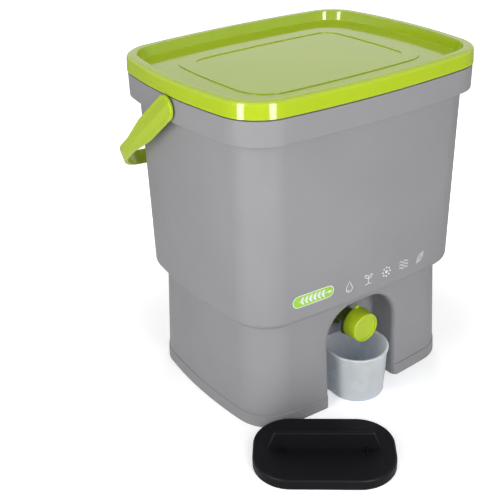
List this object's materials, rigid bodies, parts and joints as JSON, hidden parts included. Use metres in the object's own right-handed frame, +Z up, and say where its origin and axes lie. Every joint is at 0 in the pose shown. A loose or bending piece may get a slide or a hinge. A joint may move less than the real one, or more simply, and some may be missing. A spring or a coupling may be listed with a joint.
{
  "type": "bokashi bin",
  "caption": "Kitchen composting bin with a press-on lid, swinging bail handle, sieve plate, drain tap over a catch cup in a bay, and a loose press plate.",
  "frame": {"origin": "centre of the bin's foot on the floor, on the web that crosses under the vessel", "axes": "+Z up, -Y towards the tap and the bay, +X to the right of someone facing the tap"},
  "size_m": [0.3717, 0.4095, 0.4],
  "materials": {
    "grey_plastic": "satin",
    "lime_plastic": "gloss",
    "clear_plastic": "satin",
    "black_plastic": "satin",
    "seal_rubber": "matte",
    "olive_plastic": "gloss"
  },
  "bodies": {
    "bin": {"bin_body": "grey_plastic", "tap_body": "olive_plastic", "tap_gasket": "seal_rubber", "tap_washer": "seal_rubber", "tap_nut": "olive_plastic"},
    "lid": {"lid": "lime_plastic"},
    "bail": {"bail_handle": "lime_plastic"},
    "sieve": {"sieve_plate": "grey_plastic"},
    "knob": {"tap_knob": "lime_plastic", "tap_ring": "seal_rubber"},
    "cup": {"cup": "clear_plastic"},
    "press": {"press_plate": "black_plastic"}
  },
  "joints": [
    {"name": "lid_lift", "type": "slide", "parent": "bin", "child": "lid", "axis": [0, 0, 1], "range_m": [0, 0.15]},
    {"name": "bail_swing", "type": "hinge", "parent": "bin", "child": "bail", "pos_m": [0, 0, 0.3688], "axis": [1, 0, 0], "range_deg": [0, 255]},
    {"name": "sieve_lift", "type": "slide", "parent": "bin", "child": "sieve", "axis": [0, 0, 1], "range_m": [0, 0.22]},
    {"name": "tap_turn", "type": "hinge", "parent": "bin", "child": "knob", "pos_m": [0, -0.0994, 0.092], "axis": [0, 1, 0], "range_deg": [0, 180]},
    {"name": "cup_draw", "type": "slide", "parent": "bin", "child": "cup", "axis": [0, -1, 0], "range_m": [0, 0.12]},
    {"name": "press_lift", "type": "slide", "parent": "bin", "child": "press", "axis": [0, 0, 1], "range_m": [0, 0.1]}
  ]
}
